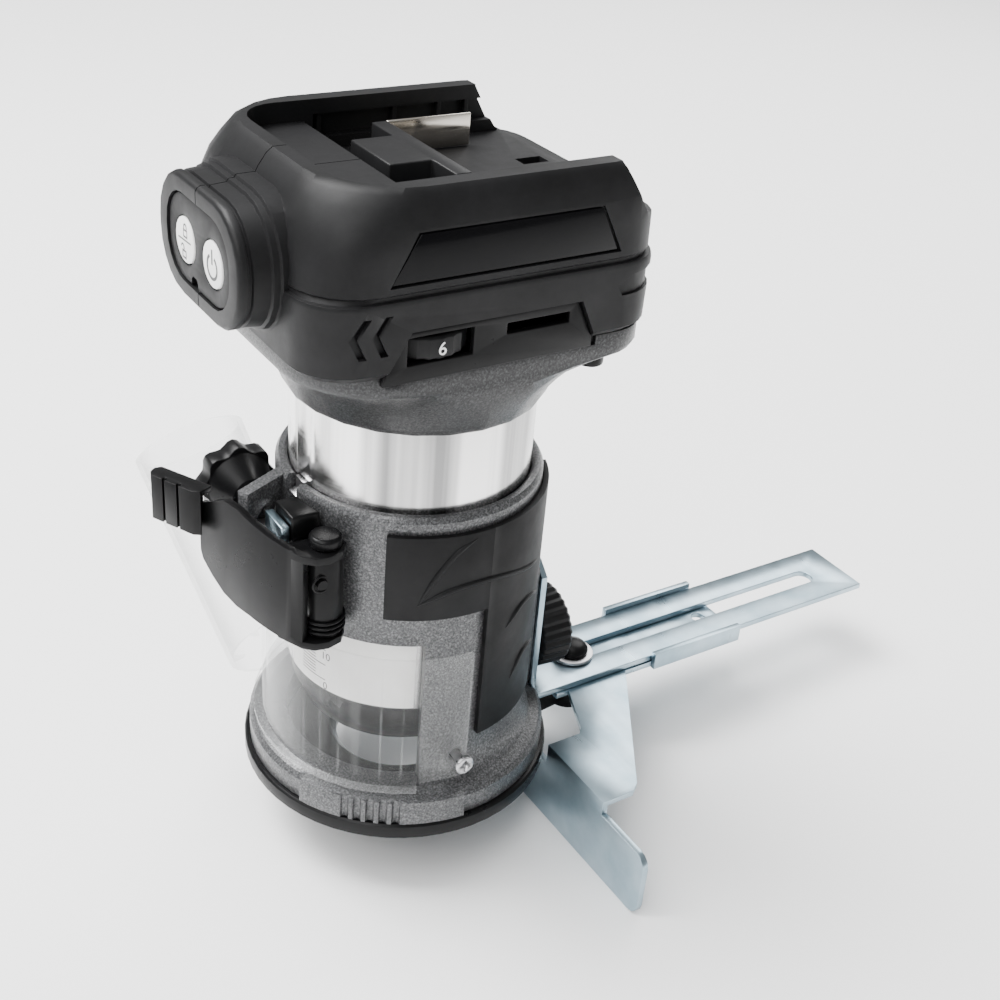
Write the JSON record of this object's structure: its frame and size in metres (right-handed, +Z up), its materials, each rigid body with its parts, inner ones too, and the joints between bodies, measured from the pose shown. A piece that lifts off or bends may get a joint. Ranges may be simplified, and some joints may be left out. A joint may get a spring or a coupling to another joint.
{
  "type": "trim router",
  "caption": "Compact battery trim router: round motor in a clamped adjustable base with clear chip deflector, hose spout and sliding straight edge guide.",
  "frame": {"origin": "centre of the bottom of the bounding box, level with the lower edge of the edge fence", "axes": "+Z up the cutter axis, +X out along the guide arm, -Y the side with the speed dial"},
  "size_m": [0.2466, 0.16, 0.206],
  "materials": {
    "hammered_grey": "grey hammered enamel on a light-alloy casting",
    "black_plastic": "satin black moulded plastic with a fine grain",
    "black_rubber": "matte black overmoulded rubber",
    "black_steel": "satin black coated pressed steel",
    "bright_aluminium": "bright turned aluminium",
    "zinc_steel": "bright blue-white zinc plate on sheet steel",
    "steel": "plain machined steel",
    "clear_plastic": "clear polycarbonate",
    "white_plastic": "white membrane button with a printed black sign",
    "green_board": "green circuit board",
    "copper": "enamelled copper winding on laminated steel",
    "gloss_black": "glossy black plate with a plain border"
  },
  "bodies": {
    "base": {"base_casting": "hammered_grey", "sole_plate": "black_plastic", "sole_screw_1": "steel", "sole_screw_2": "steel", "sole_screw_3": "steel", "front_grip": "black_rubber", "rear_grip": "black_rubber", "chip_deflector": "clear_plastic", "deflector_screw_front": "steel", "deflector_screw_rear": "steel", "lever_pivot_pin": "black_steel", "pivot_barrel": "black_steel", "clamp_bolt": "steel", "clamp_nut": "zinc_steel", "lug_block": "black_plastic", "lug_plate": "zinc_steel", "guide_arm": "zinc_steel", "guide_clamp_stud": "steel"},
    "lever": {"clamp_lever": "black_steel", "finger_pad": "black_plastic"},
    "height_drive": {"height_pinion": "steel", "height_knob": "black_plastic"},
    "guide_knob": {"guide_clamp_knob": "black_plastic"},
    "fence": {"edge_fence": "zinc_steel", "fence_bolt": "black_steel", "fence_washer": "steel"},
    "wing_nut": {"fence_wing_nut": "black_plastic"},
    "motor": {"motor_barrel": "bright_aluminium", "depth_rack": "steel", "upper_casting": "hammered_grey", "casting_screw_1": "black_steel", "casting_screw_2": "black_steel", "front_housing": "black_plastic", "rear_housing": "black_plastic", "housing_screw_1": "steel", "housing_screw_2": "steel", "housing_screw_3": "steel", "dial_panel": "black_plastic", "speed_potentiometer": "steel", "side_panel": "gloss_black", "contact_block": "black_plastic", "contact_blade_front": "steel", "contact_blade_rear": "steel", "switch_pad": "black_plastic", "switch_board": "green_board", "control_board": "green_board", "barrel_nose": "black_plastic", "lower_bearing": "steel", "upper_bearing": "steel", "bearing_bridge": "bright_aluminium", "stator": "copper"},
    "dial": {"speed_dial": "black_plastic"},
    "power_button": {"power_button": "white_plastic"},
    "lock_button": {"lock_button": "white_plastic"},
    "spindle": {"rotor": "steel", "cooling_fan": "black_plastic", "motor_shaft": "steel", "collet_cone": "steel", "collet_nut": "steel"}
  },
  "joints": [
    {"name": "depth_slide", "type": "slide", "parent": "base", "child": "motor", "axis": [0, 0, 1], "range_m": [-0.01, 0.022]},
    {"name": "height_knob_turn", "type": "hinge", "parent": "base", "child": "height_drive", "pos_m": [-0.0972, 0, 0.106], "axis": [0, 1, 0], "range_deg": [-256, 117]},
    {"name": "clamp_lever_swing", "type": "hinge", "parent": "base", "child": "lever", "pos_m": [-0.0937, -0.0216, 0.098], "axis": [0, 0, 1], "range_deg": [0, 75]},
    {"name": "guide_knob_turn", "type": "hinge", "parent": "base", "child": "guide_knob", "pos_m": [-0.0097, 0, 0.046], "axis": [1, 0, 0], "continuous": true},
    {"name": "fence_slide", "type": "slide", "parent": "base", "child": "fence", "axis": [1, 0, 0], "range_m": [0, 0.098]},
    {"name": "wing_nut_turn", "type": "hinge", "parent": "fence", "child": "wing_nut", "pos_m": [0.0063, 0, 0.016], "axis": [0, 0, 1], "continuous": true},
    {"name": "speed_dial_turn", "type": "hinge", "parent": "motor", "child": "dial", "pos_m": [-0.0742, -0.028, 0.169], "axis": [0, 0, 1], "range_deg": [-250, 50]},
    {"name": "power_button_press", "type": "slide", "parent": "motor", "child": "power_button", "axis": [1, 0, 0], "range_m": [0, 0.0008], "stiffness_N_per_m": 1500},
    {"name": "lock_button_press", "type": "slide", "parent": "motor", "child": "lock_button", "axis": [1, 0, 0], "range_m": [0, 0.0008], "stiffness_N_per_m": 1500},
    {"name": "spindle_turn", "type": "hinge", "parent": "motor", "child": "spindle", "pos_m": [-0.0577, 0, 0.1], "axis": [0, 0, 1], "continuous": true}
  ],
  "couplings": [
    {"joint": "height_knob_turn", "follows": "depth_slide", "rad_per_m": -202.02}
  ]
}
